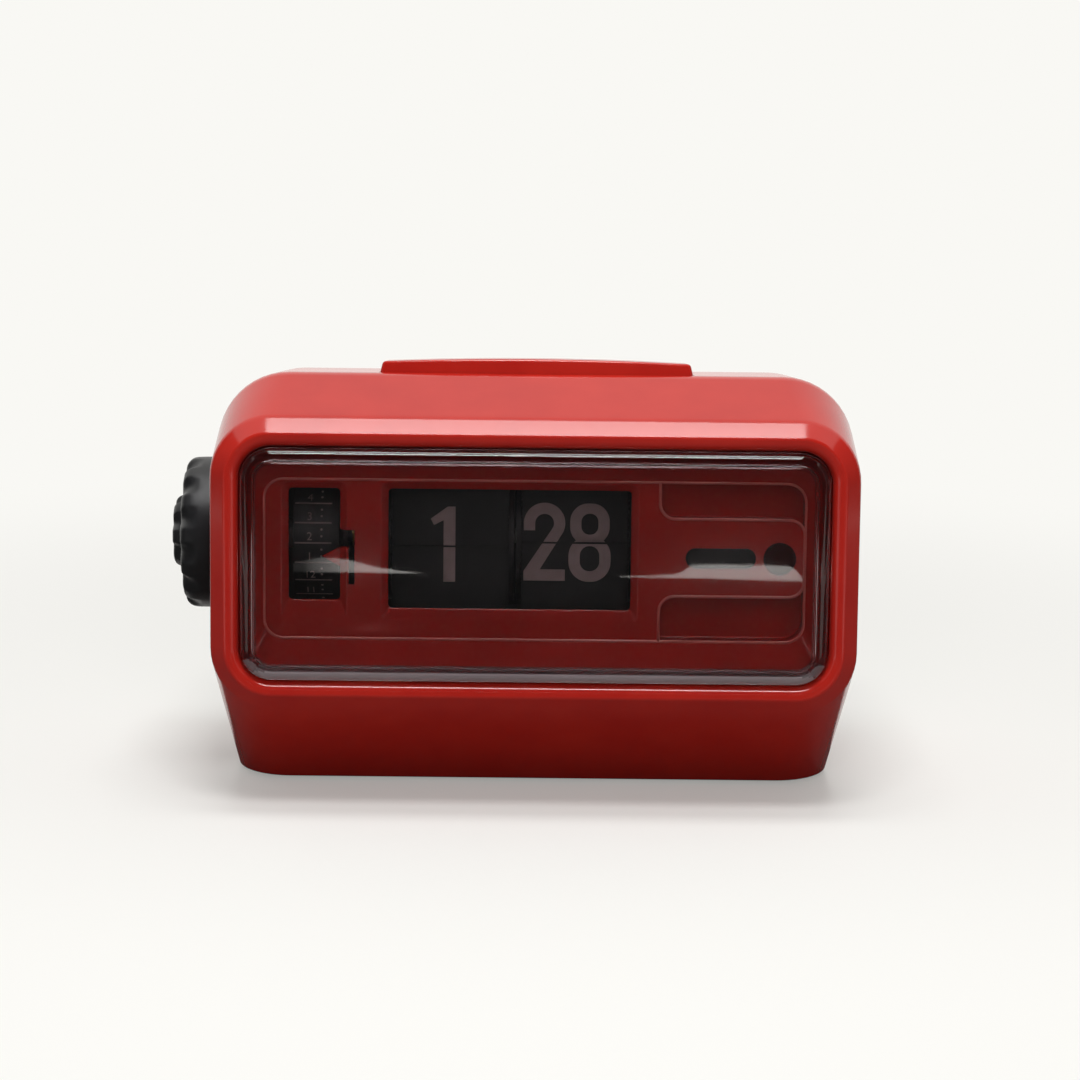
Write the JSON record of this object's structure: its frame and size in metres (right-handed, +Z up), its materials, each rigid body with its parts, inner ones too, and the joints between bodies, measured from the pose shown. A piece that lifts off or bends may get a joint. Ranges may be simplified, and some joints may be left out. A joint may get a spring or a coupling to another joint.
{
  "type": "flip alarm clock",
  "caption": "Desk flip clock: red moulded case with a framed smoked window, split-leaf hour and minute drums, alarm drum, concentric setting knobs at the left and a snooze bar on top.",
  "frame": {"origin": "on the table, under the middle of the base (the case's underside is 1 mm above it, on the feet)", "axes": "+X to the right seen from the front, +Y from the window to the rear, +Z up"},
  "size_m": [0.1786, 0.0896, 0.1146],
  "materials": {
    "red_plastic": "glossy moulded ABS",
    "black_cover": "fine grained",
    "black_knob": "satin",
    "black_drum": "matte",
    "leaf_film": "matte film",
    "badge_black": "glossy, bare",
    "smoked_acrylic": "clear smoked acrylic",
    "red_lamp": "deep red, unlit",
    "bulb_glass": "clear",
    "pale_plastic": "natural acetal",
    "steel": "zinc plated",
    "brass": "turned",
    "rubber": "matte"
  },
  "bodies": {
    "case": {"case_shell": "red_plastic", "dial_panel": "red_plastic", "alarm_pointer": "red_plastic", "rear_cover": "black_cover", "minute_leaves": "leaf_film", "hour_leaves": "leaf_film", "badge_plate": "badge_black", "front_lens": "smoked_acrylic", "lamp_lens": "red_lamp", "lamp_bulb": "bulb_glass", "lamp_holder": "pale_plastic", "left_plate": "steel", "right_plate": "steel", "cover_screws": "steel", "panel_screws": "steel", "movement_screws": "steel", "motor_screws": "steel", "bracket_screws": "steel", "back_stud": "steel", "snooze_bracket": "steel", "snooze_springs": "steel", "leaf_springs": "steel", "buzzer_reed": "steel", "motor": "steel", "plate_posts": "brass", "bearing_bushes": "brass", "rubber_feet": "rubber", "cord_gland": "rubber"},
    "time_train": {"time_knob": "black_knob", "center_shaft": "steel", "shaft_pinion": "brass", "drive_wheel": "pale_plastic", "minute_spool": "black_drum"},
    "hour_drum": {"hour_spool": "black_drum"},
    "back_train": {"back_gear": "pale_plastic"},
    "motor_train": {"motor_pinion": "brass"},
    "alarm_train": {"alarm_knob": "black_knob", "alarm_sleeve": "steel", "alarm_drum": "black_drum"},
    "minute_flap": {"minute_upper_leaf": "leaf_film"},
    "hour_flap": {"hour_upper_leaf": "leaf_film"},
    "snooze": {"snooze_bar": "red_plastic"},
    "switch": {"alarm_switch": "pale_plastic"}
  },
  "joints": [
    {"name": "time_set", "type": "hinge", "parent": "case", "child": "time_train", "pos_m": [0, -0.02031, 0.06625], "axis": [1, 0, 0], "continuous": true},
    {"name": "hour_turn", "type": "hinge", "parent": "case", "child": "hour_drum", "pos_m": [0, -0.02031, 0.06625], "axis": [1, 0, 0], "continuous": true},
    {"name": "back_turn", "type": "hinge", "parent": "case", "child": "back_train", "pos_m": [0, -0.00038, 0.06451], "axis": [1, 0, 0], "continuous": true},
    {"name": "motor_turn", "type": "hinge", "parent": "case", "child": "motor_train", "pos_m": [0, 0.00121, 0.06437], "axis": [1, 0, 0], "continuous": true},
    {"name": "alarm_set", "type": "hinge", "parent": "case", "child": "alarm_train", "pos_m": [0, -0.02031, 0.06625], "axis": [1, 0, 0], "continuous": true},
    {"name": "minute_flip", "type": "hinge", "parent": "case", "child": "minute_flap", "pos_m": [0, -0.03611, 0.06875], "axis": [1, 0, 0], "range_deg": [0, 168]},
    {"name": "hour_flip", "type": "hinge", "parent": "case", "child": "hour_flap", "pos_m": [0, -0.03611, 0.06875], "axis": [1, 0, 0], "range_deg": [0, 168]},
    {"name": "snooze_press", "type": "slide", "parent": "case", "child": "snooze", "axis": [0, -0.1356, -0.9908], "range_m": [0, 0.0025], "stiffness_N_per_m": 600, "springref_m": -0.003, "deforming": ["snooze_springs"]},
    {"name": "alarm_slide", "type": "slide", "parent": "case", "child": "switch", "axis": [1, 0, 0], "range_m": [0, 0.005]}
  ],
  "couplings": [
    {"joint": "hour_turn", "follows": "time_set", "ratio": 0.041667},
    {"joint": "back_turn", "follows": "time_set", "ratio": -0.25},
    {"joint": "motor_turn", "follows": "time_set", "ratio": -5}
  ]
}
